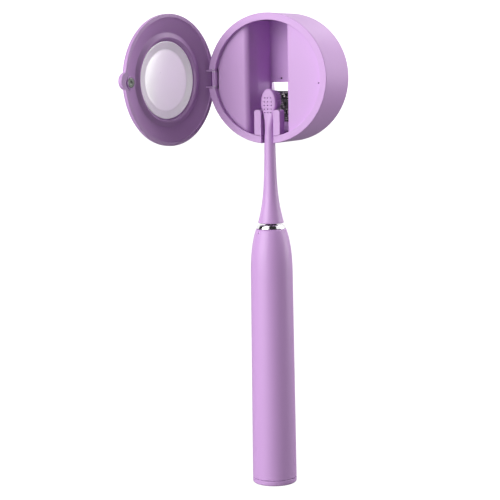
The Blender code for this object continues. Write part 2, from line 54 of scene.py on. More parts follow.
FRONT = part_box("case_shell")[0].y / MM     # y of the front rim
CASE_RADIUS = 41.0
INNER_RADIUS = 38.8
RIM_INNER = 36.5
RIM_THICKNESS = 3.2
GAP = 0.3

PIN_X = -37.7
PIN_DEPTH = 2.87
LID_ANGLE = 103.7

WINDOW_HALF = 10.9
WINDOW_TOP = -2.9
WINDOW_BOTTOM = -28.4
CHANNEL_DEPTH = 31.2
LINER_THICKNESS = 1.2

BRUSH_DEPTH = 3.9
HEAD_TOP = -6.5
HANDLE_TOP = -95.2
HANDLE_BOTTOM = -256.2
BUTTON_Z = -128.0
INDICATOR_Z = -97.1
INDICATOR_TURN = -22.6                     # degrees round the handle from the front

HOOK_X = 17.0
HOOK_Z = 13.0
SCREW_RING = 35.6
SOCKET_TURN = 205                          # degrees round the case wall
SOCKET_REACH = 20.0                        # depth of the socket's centre
LAMP_PLACES = (-7.5, -2.9, 2.9, 7.5)
LAMP_Z = -12.0
MAGNET_X = 35.6
MAGNET_Z = -1.0
BEZEL_RADIUS = 19.0                        # where the reflector's flat bezel begins


# ---------------------------------------------------------------- outlines

def fillet(corners, closed=True, step=12.0):
    """Corners (a, b, radius) to points, with every corner rounded by its own radius."""
    points = []
    count = len(corners)
    for i, (a, b, radius) in enumerate(corners):
        here = Vector((a, b))
        if radius <= 0 or (not closed and i in (0, count - 1)):
            points.append((a, b))
            continue
        before = Vector(corners[i - 1][:2]) - here
        after = Vector(corners[(i + 1) % count][:2]) - here
        u, v = before.normalized(), after.normalized()
        half = math.acos(max(-1.0, min(1.0, u.dot(v)))) / 2
        if half > math.pi / 2 - 0.01:
            points.append((a, b))
            continue
        reach = min(radius / math.tan(half), 0.48 * before.length, 0.48 * after.length)
        bow = reach * math.tan(half)
        centre = here + (u + v).normalized() * (bow / math.sin(half))
        start = here + u * reach - centre
        end = here + v * reach - centre
        turn = math.atan2(start.x * end.y - start.y * end.x, start.dot(end))
        steps = max(2, int(abs(math.degrees(turn)) / step) + 1)
        for k in range(steps + 1):
            angle = turn * k / steps
            x = start.x * math.cos(angle) - start.y * math.sin(angle)
            y = start.x * math.sin(angle) + start.y * math.cos(angle)
            points.append((centre.x + x, centre.y + y))
    return points


def arc(centre, radius, start, end, count):
    angles = [math.radians(start + (end - start) * i / count) for i in range(count + 1)]
    return [(centre[0] + radius * math.cos(a), centre[1] + radius * math.sin(a)) for a in angles]


def smooth_step(value):
    value = min(max(value, 0.0), 1.0)
    return value * value * (3 - 2 * value)


# ---------------------------------------------------------------- meshes

def place(x, depth, z):
    return Vector((x, FRONT + depth, z)) * MM


def add_piece(name, work, sharp=40):
    """bmesh to an object, with outward normals and smooth shading across shallow edges."""
    bmesh.ops.recalc_face_normals(work, faces=work.faces)
    mesh = bpy.data.meshes.new(name)
    work.to_mesh(mesh)
    work.free()
    made = bpy.data.objects.new(name, mesh)
    bpy.context.scene.collection.objects.link(made)
    shade(made, sharp)
    return made


def shade(piece, sharp=40):
    piece.data.shade_smooth()
    piece.data.set_sharp_from_angle(angle=math.radians(sharp))


def loft(name, rings, closed=False, sharp=40):
    """Skin over rings of equal point count. Open lofts are capped; closed ones join end to start."""
    work = bmesh.new()
    loops = [[work.verts.new(p) for p in ring] for ring in rings]
    sides = len(loops[0])
    pairs = list(zip(loops, loops[1:]))
    if closed:
        pairs.append((loops[-1], loops[0]))
    for lower, upper in pairs:
        for i in range(sides):
            j = (i + 1) % sides
            work.faces.new((lower[i], lower[j], upper[j], upper[i]))
    if not closed:
        work.faces.new(list(reversed(loops[0])))
        work.faces.new(loops[-1])
    return add_piece(name, work, sharp)


def lathe(name, profile, centre=(0.0, 0.0), upright=False, sides=192, sharp=40):
    """Turn (radius, height) points. A profile touching radius 0 at both ends is a solid, and any
    other is a ring. Height is depth, or z when upright with centre (x, depth)."""
    solid = profile[0][0] < 1e-6 and profile[-1][0] < 1e-6
    inner = profile[1:-1] if solid else profile

    def point(radius, height, angle):
        a, b = radius * math.cos(angle), radius * math.sin(angle)
        if upright:
            return place(centre[0] + a, centre[1] + b, height)
        return place(centre[0] + a, height, centre[1] + b)

    work = bmesh.new()
    angles = [2 * math.pi * i / sides for i in range(sides)]
    loops = [[work.verts.new(point(r, h, a)) for a in angles] for r, h in inner]
    pairs = list(zip(loops, loops[1:]))
    if not solid:
        pairs.append((loops[-1], loops[0]))
    for lower, upper in pairs:
        for i in range(sides):
            j = (i + 1) % sides
            work.faces.new((lower[i], lower[j], upper[j], upper[i]))
    if solid:
        for loop, height in ((loops[0], profile[0][1]), (loops[-1], profile[-1][1])):
            tip = work.verts.new(point(0, height, 0))
            for i in range(sides):
                work.faces.new((loop[i], loop[(i + 1) % sides], tip))
    return add_piece(name, work, sharp)


def prism(name, outline, span, along="z", sharp=40):
    """Straight solid. Along z the outline holds (x, depth), along depth (x, z), along x (depth, z)."""
    def point(a, b, c):
        if along == "z":
            return place(a, b, c)
        return place(a, c, b) if along == "depth" else place(c, a, b)

    rings = [[point(a, b, c) for a, b in outline] for c in span]
    return loft(name, rings, sharp=sharp)


def box(name, x, depth, z, radius=0.0):
    """Box with its four upright edges rounded."""
    corners = [(x[0], depth[0], radius), (x[1], depth[0], radius), (x[1], depth[1], radius),
               (x[0], depth[1], radius)]
    return prism(name, fillet(corners), z)


def rod(name, centre, radius, length, along="depth", sides=64, bevel=0.0):
    """Cylinder with eased rims."""
    low, high = -length / 2, length / 2
    turns = [math.radians(a) for a in ((0, 30, 60, 90) if bevel > 0 else (90,))]
    inset = radius - bevel
    under = [(inset + bevel * math.sin(a), low + bevel - bevel * math.cos(a)) for a in turns]
    over = [(inset + bevel * math.sin(a), high - bevel + bevel * math.cos(a)) for a in reversed(turns)]
    profile = [(0, low), *under, *over, (0, high)]
    if along == "z":
        shifted = [(r, centre[2] + h) for r, h in profile]
        return lathe(name, shifted, (centre[0], centre[1]), True, sides)
    shifted = [(r, centre[1] + h) for r, h in profile]
    return lathe(name, shifted, (centre[0], centre[2]), False, sides)


def add_block(work, centre, size, slot):
    """Add a small block with one material slot to a bmesh."""
    shape = bmesh.ops.create_cube(work, size=1.0)["verts"]
    bmesh.ops.scale(work, vec=[side * MM for side in size], verts=shape)
    bmesh.ops.translate(work, vec=place(*centre), verts=shape)
    for face in {f for v in shape for f in v.link_faces}:
        face.material_index = slot


def settle(piece):
    """Apply a piece's modifiers to its mesh."""
    graph = bpy.context.evaluated_depsgraph_get()
    graph.update()
    mesh = bpy.data.meshes.new_from_object(piece.evaluated_get(graph))
    mesh.name = piece.name
    piece.modifiers.clear()
    piece.data = mesh
    return piece


def weld(piece):
    """Join points that a cut left on top of each other."""
    work = bmesh.new()
    work.from_mesh(piece.data)
    bmesh.ops.remove_doubles(work, verts=work.verts, dist=0.0005 * MM)
    bmesh.ops.dissolve_degenerate(work, edges=work.edges, dist=0.0002 * MM)
    work.to_mesh(piece.data)
    work.free()


def combine(piece, others, operation):
    for other in others:
        step = piece.modifiers.new(other.name, "BOOLEAN")
        step.operation = operation
        step.object = other
        step.solver = "EXACT"
        settle(piece)
        weld(piece)
        bpy.data.objects.remove(other, do_unlink=True)
    return piece


def cut(piece, *tools):
    return combine(piece, tools, "DIFFERENCE")


def unite(piece, *others):
    return combine(piece, others, "UNION")


def keep_within(piece, other):
    return combine(piece, [other], "INTERSECT")


def ease_edges(piece, width, angle=45, segments=3):
    """Round the hard edges, as a mould does, and keep the flat faces flat in shading."""
    step = piece.modifiers.new("eased", "BEVEL")
    step.width = width * MM
    step.segments = segments
    step.limit_method = "ANGLE"
    step.angle_limit = math.radians(angle)
    step.use_clamp_overlap = True
    step.miter_outer = "MITER_ARC"
    settle(piece)
    shade(piece, 35)
    weighted = piece.modifiers.new("weighted", "WEIGHTED_NORMAL")
    weighted.keep_sharp = True
    settle(piece)
    return piece


def swing_open(piece):
    """Turn a piece that was built on the closed lid to where the open lid is."""
    axis = place(PIN_X, PIN_DEPTH, 0)
    turn = Matrix.Rotation(math.radians(-LID_ANGLE), 4, "Z")
    piece.data.transform(Matrix.Translation(axis) @ turn @ Matrix.Translation(-axis))
    return piece


# ---------------------------------------------------------------- materials

class Nodes:
    """Small wrapper that adds and links shader nodes."""

    def __init__(self, name, colour, roughness, metallic=0.0):
        self.material = bpy.data.materials.new(name)
        self.material.use_nodes = True
        self.tree = self.material.node_tree
        self.shader = self.tree.nodes["Principled BSDF"]
        self.shader.inputs["Base Color"].default_value = (*colour, 1)
        self.shader.inputs["Roughness"].default_value = roughness
        self.shader.inputs["Metallic"].default_value = metallic
        coordinates = self.tree.nodes.new("ShaderNodeTexCoord")
        self.place = coordinates.outputs["Object"]

    def add(self, kind, **settings):
        node = self.tree.nodes.new(kind)
        for key, value in settings.items():
            setattr(node, key, value)
        return node

    def link(self, source, target):
        self.tree.links.new(source, target)

    def noise(self, scale, detail=4.0, roughness=0.5, vector=None):
        node = self.add("ShaderNodeTexNoise")
        node.inputs["Scale"].default_value = scale
        node.inputs["Detail"].default_value = detail
        node.inputs["Roughness"].default_value = roughness
        self.link(vector or self.place, node.inputs["Vector"])
        return node.outputs["Fac"]

    def spread(self, value, low, high):
        node = self.add("ShaderNodeMapRange")
        node.inputs["From Min"].default_value = 0.3
        node.inputs["From Max"].default_value = 0.7
        node.inputs["To Min"].default_value = low
        node.inputs["To Max"].default_value = high
        self.link(value, node.inputs["Value"])
        return node.outputs["Result"]

    def blend(self, factor, first, second):
        node = self.add("ShaderNodeMix", data_type="RGBA")
        node.inputs[6].default_value = (*first, 1)
        node.inputs[7].default_value = (*second, 1)
        self.link(factor, node.inputs[0])
        return node.outputs[2]

    def bump(self, height, strength, distance):
        node = self.add("ShaderNodeBump")
        node.inputs["Strength"].default_value = strength
        node.inputs["Distance"].default_value = distance
        self.link(height, node.inputs["Height"])
        self.link(node.outputs["Normal"], self.shader.inputs["Normal"])


def tint(colour, factor):
    return tuple(min(1.0, c * factor) for c in colour)


def moulded(name, colour, roughness=0.42, spark=5200.0, depth=0.00003, specular=0.45):
    """Satin moulded plastic: a fine spark-eroded texture and a faint unevenness of tone."""
    made = Nodes(name, colour, roughness)
    made.shader.inputs["Specular IOR Level"].default_value = specular
    cloud = made.noise(28.0, 3.0)
    made.link(made.blend(cloud, tint(colour, 0.985), tint(colour, 1.015)),
              made.shader.inputs["Base Color"])
    fine = made.noise(spark, 2.0, 0.6)
    made.link(made.spread(made.noise(900.0, 4.0), roughness - 0.04, roughness + 0.05),
              made.shader.inputs["Roughness"])
    made.bump(fine, 0.12, depth)
    return made.material


def metal(name, colour, roughness, stretch=(1.0, 1.0, 1.0), scale=900.0, strength=0.05):
    """Metal with a brushed or cast grain: the noise is stretched along the drawing direction."""
    made = Nodes(name, colour, roughness, 1.0)
    mapping = made.add("ShaderNodeMapping")
    mapping.inputs["Scale"].default_value = stretch
    made.link(made.place, mapping.inputs["Vector"])
    grain = made.noise(scale, 5.0, 0.6, mapping.outputs["Vector"])
    made.link(made.spread(grain, max(roughness - 0.06, 0.02), roughness + 0.08),
              made.shader.inputs["Roughness"])
    made.link(made.blend(grain, tint(colour, 0.93), tint(colour, 1.05)),
              made.shader.inputs["Base Color"])
    made.bump(grain, strength, 0.00002)
    return made.material


def circuit(name, colour, trace):
    """Solder mask with tracks under it."""
    made = Nodes(name, colour, 0.6)
    made.shader.inputs["Specular IOR Level"].default_value = 0.25
    cells = made.add("ShaderNodeTexVoronoi", distance="MANHATTAN", feature="F1")
    cells.inputs["Scale"].default_value = 620.0
    made.link(made.place, cells.inputs["Vector"])
    made.link(made.blend(made.spread(cells.outputs["Distance"], 0.0, 1.0), colour, trace),
              made.shader.inputs["Base Color"])
    made.link(made.spread(made.noise(700.0), 0.5, 0.7), made.shader.inputs["Roughness"])
    made.bump(cells.outputs["Distance"], 0.3, 0.00005)
    return made.material


def paint_glow(material, strength):
    """Give a material a faint white glow, as painted light on a part that is no lamp, and return its
    shader.
    """
    shader = material.node_tree.nodes["Principled BSDF"]
    shader.inputs["Emission Color"].default_value = (1, 1, 1, 1)
    shader.inputs["Emission Strength"].default_value = strength
    return shader


LILAC = (0.640, 0.372, 0.735)
BRISTLE = (0.66, 0.45, 0.75)
BLACK = (0.018, 0.018, 0.020)
STEEL = (0.66, 0.66, 0.68)
GREEN = (0.020, 0.110, 0.060)


def paint(piece, *materials):
    """Give a mesh its materials, and keep which face has which."""
    slots = [face.material_index for face in piece.data.polygons]
    piece.data.materials.clear()
    for made in materials:
        piece.data.materials.append(made)
    piece.data.polygons.foreach_set("material_index", slots)
    return piece


def put(piece, body, node, *materials):
    """Give a piece its body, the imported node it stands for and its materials."""
    paint(piece, *materials)
    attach(piece, body)
    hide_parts(node)
    return piece


# ---------------------------------------------------------------- case

def screw_places():
    return [(SCREW_RING * math.cos(math.radians(a)), SCREW_RING * math.sin(math.radians(a)))
            for a in (45, 135, 225, 315)]


def radial(piece):
    """Turn a piece that was built about +x to where the charging socket is."""
    centre = place(0, 0, 0)
    turn = Matrix.Rotation(math.radians(-SOCKET_TURN), 4, "Y")
    piece.data.transform(Matrix.Translation(centre) @ turn @ Matrix.Translation(-centre))
    return piece


def make_case(plastic):
    corners = [(INNER_RADIUS, CASE_DEPTH, 0.2), (CASE_RADIUS, CASE_DEPTH, 0.7), (CASE_RADIUS, 0, 0.45),
               (RIM_INNER, 0, 0.3), (RIM_INNER, RIM_THICKNESS, 0.2), (INNER_RADIUS, RIM_THICKNESS, 0.2)]
    shell = lathe("case_body", fillet(corners), sides=256)
    cut(shell, box("slot", (-4.3, 4.3), (-2, 14.3), (-45, -32)),
        box("notch", (-44, -34), (-2, 6.3), (-6, 6)))
    unite(shell, box("root", (-40.3, -35.95), (6.2, 9.0), (-4.4, 4.4)),
          box("web", (PIN_X - 1.75, PIN_X + 1.75), (PIN_DEPTH, 6.6), (-4.4, 4.4)),
          rod("barrel", (PIN_X, PIN_DEPTH, 0), 1.77, 8.8, "z", 48))
    for x, z in screw_places():
        unite(shell, rod("boss", (x, 28.35, z), 3.6, 12.7, sides=40))
    for x, z in screw_places():
        cut(shell, rod("bore", (x, 31, z), 1.2, 12, sides=24))
    cut(shell, rod("pin bore", (PIN_X, PIN_DEPTH, 0), 0.86, 12, "z", 32))
    near, far = SOCKET_REACH - 4.8, SOCKET_REACH + 4.8
    mouth = fillet([(near, -1.95, 1.9), (far, -1.95, 1.9), (far, 1.95, 1.9), (near, 1.95, 1.9)])
    cut(shell, radial(prism("socket hole", mouth, (35, 45), "x")))
    ease_edges(shell, 0.22)
    put(shell, "case", "case_shell", plastic)


def liner_outline():
    """Section through the chamber wall, as (x, depth): its face, then its back."""
    front = fillet([(-39.5, 3.5, 0), (-14.6, 3.5, 3.6), (-12.5, 14.0, 24), (-11.9, CHANNEL_DEPTH, 0.7),
                    (11.9, CHANNEL_DEPTH, 0.7), (12.9, 3.5, 1.5), (39.5, 3.5, 0)], closed=False, step=6)
    back = []
    for i, point in enumerate(front):
        before = Vector(front[max(i - 1, 0)])
        after = Vector(front[min(i + 1, len(front) - 1)])
        along = (after - before).normalized()
        moved = Vector(point) + Vector((-along.y, along.x)) * LINER_THICKNESS
        back.append((moved.x, moved.y))
    return front + list(reversed(back))


def make_liner(plastic):
    outline = liner_outline()
    liner = prism("chamber", outline, (-39.5, 39.5), sharp=30)
    keep_within(liner, rod("round", (0, 18, 0), INNER_RADIUS - GAP, 50, sides=256))
    for z in (-31.2, -33.2, -35.2):
        unite(liner, box("rib", (-11.2, 11.2), (CHANNEL_DEPTH - 0.9, CHANNEL_DEPTH + 0.7),
                         (z - 0.4, z + 0.4)))
    window = fillet([(-WINDOW_HALF, WINDOW_BOTTOM, 0.5), (WINDOW_HALF, WINDOW_BOTTOM, 0.5),
                     (WINDOW_HALF, WINDOW_TOP, 0.5), (-WINDOW_HALF, WINDOW_TOP, 0.5)])
    cut(liner, prism("window", window, (26, 40), "depth"),
        box("hinge clearance", (-44, -35.2), (-2, 12), (-6.3, 6.3)))
    cut(liner, rod("sensing hole", (-3.95, CHANNEL_DEPTH, -0.35), 0.7, 6, sides=32))
    cut(liner, rod("lid sensor hole", (34.2, 3.5, -3.3), 0.5, 6, sides=32))
    ease_edges(liner, 0.12, 50, 2)
    put(liner, "case", "chamber_liner", plastic)


def make_fork(plastic):
    prongs = []
    for side in (-1, 1):
        near, far = sorted((side * 4.3, side * 8.8))
        corners = [(near, -41, 0), (far, -41, 0), (far, -19.7, 1.7), (near, -19.7, 1.7)]
        prongs.append(prism("prong", fillet(corners, step=10), (0, 7.3), "depth"))
    fork = prongs[0]
    fork.name = "brush_holder"
    unite(fork, prongs[1],
          box("rail left", (-8.75, -4.3), (3.5, 20), (-41, -33.8)),
          box("rail right", (4.3, 8.75), (3.5, 20), (-41, -33.8)),
          box("bridge", (-8.75, 8.75), (14.3, 20), (-41, -33.8)))
    outside = [(0, 30), (38.5, 30), (38.5, 3.5), (36.2, 3.5), (36.2, -2), (0, -2)]
    keep_within(fork, lathe("inside", outside, sides=256))
    ease_edges(fork, 0.45, 40, 4)
    put(fork, "case", "brush_fork", plastic)


def make_rear(plastic, steel):
    cover = rod("rear_cover", (0, 35.7, 0), 38.5, 1.4, sides=192)
    window = fillet([(-11.8, -29.3, 0.8), (11.8, -29.3, 0.8), (11.8, -2.0, 0.8), (-11.8, -2.0, 0.8)])
    cut(cover, prism("cover window", window, (30, 40), "depth"))
    for x in (-HOOK_X, HOOK_X):
        cut(cover, rod("entry", (x, 35, HOOK_Z - 8), 3.4, 8, sides=48),
            box("track", (x - 1.8, x + 1.8), (30, 40), (HOOK_Z - 8, HOOK_Z)),
            rod("seat", (x, 35, HOOK_Z), 1.95, 8, sides=48))
    for x, z in screw_places():
        cut(cover, rod("clear hole", (x, 35, z), 1.25, 8, sides=32),
            rod("counterbore", (x, 37.5, z), 2.2, 4, sides=32))
    ease_edges(cover, 0.12, 50, 2)
    put(cover, "case", "back_cover", plastic)
    for number, (x, z) in enumerate(screw_places(), 1):
        screw = rod(f"cover_screw_{number}", (x, 36.05, z), 1.9, 0.5, sides=40, bevel=0.15)
        unite(screw, rod("shank", (x, 31.7, z), 0.95, 9.0, sides=24))
        cut(screw, box("cross a", (x - 1.1, x + 1.1), (36.05, 38), (z - 0.2, z + 0.2)),
            box("cross b", (x - 0.2, x + 0.2), (36.05, 38), (z - 1.1, z + 1.1)))
        put(screw, "case", f"back_cover_screw_{number}", steel)


def make_bracket(plastic, foam):
    corners = [(-25, -25, 6), (25, -25, 6), (25, 25, 6), (-25, 25, 6)]
    low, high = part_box("wall_plate")
    back = high.y / MM - FRONT
    plate = prism("wall_bracket_plate", fillet(corners, step=6), (back - 1.5, back), "depth")
    head = low.y / MM - FRONT
    for x in (-HOOK_X, HOOK_X):
        unite(plate, rod("stem", (x, (head + back) / 2, HOOK_Z), 1.5, back - head - 0.6, sides=40),
              rod("head", (x, head + 0.5, HOOK_Z), 2.9, 1.0, sides=48, bevel=0.2))
    ease_edges(plate, 0.2, 50, 2)
    put(plate, "wall_bracket", "wall_plate", plastic)
    corners = [(-22, -22, 5), (22, -22, 5), (22, 22, 5), (-22, 22, 5)]
    low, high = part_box("adhesive_pad")
    span = (low.y / MM - FRONT, high.y / MM - FRONT)
    pad = prism("foam_pad", fillet(corners, step=6), span, "depth")
    put(pad, "wall_bracket", "adhesive_pad", foam)


# ---------------------------------------------------------------- lamp behind the window

def make_tray(dark, lit_jamb_paint, glow):
    """The lamp's frame. Its white glow is painted light, its lowest faces are black as painted shade, and
    its side jambs and back are a lighter lilac as painted light.
    """
    outer = fillet([(-11.5, -29.5, 0.6), (11.5, -29.5, 0.6), (11.5, -2.3, 0.6), (-11.5, -2.3, 0.6)])
    tray = prism("lamp_frame", outer, (32.9, 36.2), "depth")
    low = WINDOW_BOTTOM - 0.5
    hollow = fillet([(-WINDOW_HALF, low, 0.5), (WINDOW_HALF, low, 0.5),
                     (WINDOW_HALF, WINDOW_TOP, 0.5), (-WINDOW_HALF, WINDOW_TOP, 0.5)])
    cut(tray, prism("hollow", hollow, (30, 35.6), "depth"))
    # Colour by where each face looks: the lowest faces take black as painted shade, the side jambs and
    # back a lighter lilac as painted light, and the rest keep the white glow, also painted light.
    for face in tray.data.polygons:
        if face.center.z < (WINDOW_BOTTOM + 0.8) * MM:
            face.material_index = 1
        elif abs(face.normal.x) > 0.9 or face.normal.y > 0.9:
            face.material_index = 2
    ease_edges(tray, 0.1, 50, 2)
    put(tray, "case", "lamp_tray", glow, dark, lit_jamb_paint)


def make_board(mask, *parts):
    """The lamp board, with small parts spread over it at random, clear of one another."""
    board = prism("lamp_circuit", fillet([(-10.6, -28.6, 0.3), (10.6, -28.6, 0.3), (10.6, -8.6, 0.6),
                                          (-10.6, -8.6, 0.6)]), (34.1, 35.2), "depth")
    work = bmesh.new()
    work.from_mesh(board.data)
    for face in work.faces:
        face.material_index = 0
    kinds = ((2.4, 0.9, 0.9, 1), (1.6, 0.8, 0.5, 2), (2.6, 1.8, 1.0, 1), (1.2, 0.7, 0.8, 4),
             (1.6, 1.2, 0.7, 2), (2.0, 0.6, 0.6, 4))
    dice = random.Random(11)
    taken = [(x, LAMP_Z, 2.1, 2.1) for x in LAMP_PLACES]
    for _ in range(1500):
        wide, tall, high, slot = dice.choice(kinds)
        if dice.random() < 0.5:
            wide, tall = tall, wide
        x = dice.uniform(-9.8 + wide / 2, 9.8 - wide / 2)
        z = dice.uniform(-27.6 + tall / 2, -9.0 - tall / 2)
        clear = all(abs(x - px) > (wide + pw) / 2 + 0.18 or abs(z - pz) > (tall + ph) / 2 + 0.18
                    for px, pz, pw, ph in taken)
        if not clear:
            continue
        taken.append((x, z, wide, tall))
        add_block(work, (x, 34.15 - high / 2, z), (wide, high + 0.1, tall), slot)
        if slot == 1 and wide > 1.5:
            pins = int(max(wide, tall) / 0.55)
            for k in range(pins):
                for side in (-1, 1):
                    offset = (k + 0.5) / pins - 0.5
                    px = x + offset * wide if wide >= tall else x + side * (wide / 2 + 0.1)
                    pz = z + side * (tall / 2 + 0.1) if wide >= tall else z + offset * tall
                    add_block(work, (px, 34.05, pz), (0.22, 0.14, 0.22), 3)
    bmesh.ops.recalc_face_normals(work, faces=work.faces)
    work.to_mesh(board.data)
    work.free()
    shade(board, 30)
    put(board, "case", "lamp_board", mask, *parts)


def make_sensor(dark):
    sensor = rod("chamber_sensor", (-3.95, 33.1, -0.35), 1.1, 0.8, sides=48, bevel=0.1)
    put(sensor, "case", "lamp_board", dark)


def make_lamps(body, bright):
    for number, x in enumerate(LAMP_PLACES, 1):
        rim = fillet([(x - 1.6, LAMP_Z - 1.6, 0.2), (x + 1.6, LAMP_Z - 1.6, 0.2),
                      (x + 1.6, LAMP_Z + 1.6, 0.2), (x - 1.6, LAMP_Z + 1.6, 0.2)])
        lamp = prism(f"lamp_chip_{number}", rim, (33.0, 33.8), "depth")
        cut(lamp, rod("well", (x, 32.9, LAMP_Z), 1.05, 0.8, sides=48))
        ease_edges(lamp, 0.06, 50, 2)
        paint(lamp, body, bright)
        work = bmesh.new()
        work.from_mesh(lamp.data)
        # The die and contact strip take bright white as a painted glint, standing for the shine off the
        # lamp's metal die.
        die = ((x, 33.2, LAMP_Z), 0.95, 0.95)
        strip = ((x - 0.6, 32.98, LAMP_Z + 1.25), 1.9, 0.4)
        for centre, wide, tall in (die, strip):
            add_block(work, centre, (wide, 0.2, tall), 1)
        work.to_mesh(lamp.data)
        work.free()
        put(lamp, "case", f"uv_led_{number}", body, bright)


def make_socket(steel):
    def shape(width, height, radius):
        near, far = SOCKET_REACH - width, SOCKET_REACH + width
        return fillet([(near, -height, radius), (far, -height, radius),
                       (far, height, radius), (near, height, radius)], step=10)

    socket = radial(prism("charging_port", shape(4.45, 1.63, 1.55), (33.6, 40.4), "x"))
    cut(socket, radial(prism("mouth", shape(4.15, 1.33, 1.3), (34.6, 44), "x")))
    unite(socket, radial(prism("tongue", shape(3.2, 0.34, 0.1), (34.2, 39.4), "x")))
    ease_edges(socket, 0.06, 50, 2)
    put(socket, "case", "charging_socket", steel)


# ---------------------------------------------------------------- lid

def make_lid_liner(inside):
    corners = [(24.9, -4.2, 0.1), (25.5, -2.6, 0.5), (26.4, -2.2, 0.6), (29.5, -3.6, 1.2),
               (37.7, -1.35, 0.5), (38.55, -1.0, 0.25), (38.75, -0.3, 0.15), (CASE_RADIUS, -0.3, 0.3),
               (CASE_RADIUS, -2.4, 0.1), (39.4, -2.4, 0.1), (38.6, -2.6, 0.3), (29.5, -4.9, 1),
               (24.9, -5.2, 0.1)]
    liner = lathe("lid_inner", fillet(corners, step=15), sides=256)
    tab = rod("tab", (39.1, -1.35, 0), 5.5, 2.1, sides=96)
    cut(tab, rod("tab cut", (0, 0, 0), 39.6, 12, sides=192))
    boss = rod("boss", (MAGNET_X, -2.4, MAGNET_Z), 3.9, 3.0, sides=96)
    keep_within(boss, lathe("under lid", [(0, 1), (41, 1), (41, -2.35), (39.3, -2.35), (38.6, -2.5),
                                          (29.5, -4.8), (26, -5), (0, -5)], sides=192))
    for piece in (liner, tab):
        groove = rod("groove", (MAGNET_X, -0.7, MAGNET_Z), 4.9, 2.1, sides=96)
        cut(groove, rod("groove core", (MAGNET_X, -0.9, MAGNET_Z), 3.8, 4, sides=96))
        cut(piece, groove)
    unite(liner, tab, boss)
    for z in (2.8, -4.8):
        cut(liner, box("gusset", (37.6, 38.5), (-2.3, 2), (z - 0.45, z + 0.45)))
    relief = [(-35.2, -0.3), (-35.2, 2), (-43, 2), (-43, -2.15)]
    cut(liner, prism("relief", relief, (-11, 11)))
    for low, high in ((-5.75, -4.75), (4.75, 5.75)):
        foot = [(PIN_X - 1.8, -2.1), (PIN_X + 2.8, -2.1), (PIN_X + 2.8, -0.9)]
        cheek = foot + arc((PIN_X, PIN_DEPTH), 1.8, -20, 180, 24)
        unite(liner, prism("cheek", cheek, (low, high)))
    cut(liner, rod("magnet pocket", (MAGNET_X, -0.9, MAGNET_Z), 3.05, 3.2, sides=96),
        rod("pin bore", (PIN_X, PIN_DEPTH, 0), 0.86, 14, "z", 32))
    ease_edges(liner, 0.15, 50, 3)
    swing_open(liner)
    put(liner, "lid", "lid_liner", inside)


def make_lid_shell(outside):
    dome = [(0, -6.7), (20, -6.7), (29.5, -5.4), (38.4, -2.95), (39.2, -2.7)]
    rise = fillet([(39.2, -2.7, 0), (40.85, -2.7, 0.2), (40.85, -3.1, 0.3), (39.6, -4.0, 1.2),
                   (36, -5.35, 6), (30, -6.8, 12), (20, -7.9, 20), (0, -8.1, 0)], closed=False, step=3)
    shell = lathe("lid_outer", dome + rise[1:], sides=256)
    shell_tab = rod("outer tab", (39.1, -3.0, 0), 5.3, 0.6, sides=96, bevel=0.2)
    cut(shell_tab, rod("outer tab cut", (0, 0, 0), 39.9, 12, sides=192))
    unite(shell, shell_tab)
    shade(shell, 35)
    swing_open(shell)
    put(shell, "lid", "lid_shell", outside)


def make_reflector(satin_white_painted_glow, satin_rim_painted_shade_glow):
    dome = [(18.8 * k / 12, -3.85 - 1.15 * (k / 12) ** 2) for k in range(12)]
    dish = dome + fillet([(18.8, -5.0, 0), (19.4, -5.0, 0.4), (23.6, -3.75, 0.4), (24.1, -3.85, 0.2),
                          (24.1, -4.6, 0.2), (23.8, -4.8, 0.4), (19.0, -6.1, 1), (0, -6.1, 0)],
                         closed=False, step=6)
    # Faces past the bezel radius take the greyer rim material as painted shade; both materials also glow
    # faintly as painted light.
    reflector = lathe("lid_dish", dish, sides=256)
    for face in reflector.data.polygons:
        centre = face.center
        if math.hypot(centre.x, centre.z) > BEZEL_RADIUS * MM:
            face.material_index = 1
    swing_open(reflector)
    put(reflector, "lid", "lid_reflector", satin_white_painted_glow, satin_rim_painted_shade_glow)


def make_magnet(magnet_metal):
    ring = fillet([(0.0, -2.4, 0), (2.95, -2.4, 0.15), (2.95, -0.8, 0.3), (1.1, -0.8, 0.25),
                   (0.75, -1.1, 0.2), (0.0, -1.1, 0)], closed=False)
    magnet = lathe("lid_magnet_disc", ring, (MAGNET_X, MAGNET_Z), sides=96)
    swing_open(magnet)
    put(magnet, "lid", "lid_magnet", magnet_metal)


# ---------------------------------------------------------------- toothbrush

NECK = ((-26.0, 2.9), (-31.0, 2.95), (-36.0, 3.3), (-43.3, 3.54), (-47.8, 3.61), (-54.3, 3.77),
        (-60.8, 4.02), (-67.3, 4.32), (-73.8, 4.89), (-80.3, 5.73), (-86.8, 7.15), (-91.0, 8.15),
        (-95.0, 9.1))
OVAL = ((HEAD_TOP, 0.6), (-6.9, 1.7), (-7.5, 2.5), (-8.2, 3.1), (-9.2, 3.75), (-10.4, 4.3),
        (-12.0, 4.75), (-14.0, 5.05), (-16.0, 5.15), (-17.4, 5.1), (-18.5, 4.9), (-19.4, 4.4),
        (-20.3, 4.05), (-21.5, 3.85), (-23.0, 3.5), (-26.0, 3.0), (-31.0, 2.95), (-40.0, 3.4))


def soft_table(table, z, reach):
    """Read a (height, half-width) table, smoothed over reach on both sides."""
    heights = np.array([-h for h, _ in table])
    widths = np.array([w for _, w in table])
    spots = (-z + np.linspace(-reach, reach, 7)).clip(heights[0], heights[-1])
    return float(np.interp(spots, heights, widths).mean())


def neck_radius(z):
    return soft_table(NECK, z, 3.0)


def head_width(z):
    """Half-width of the oval head, smoothed between its named heights."""
    return soft_table(OVAL, z, 0.6 if z > -24 else 2.0)


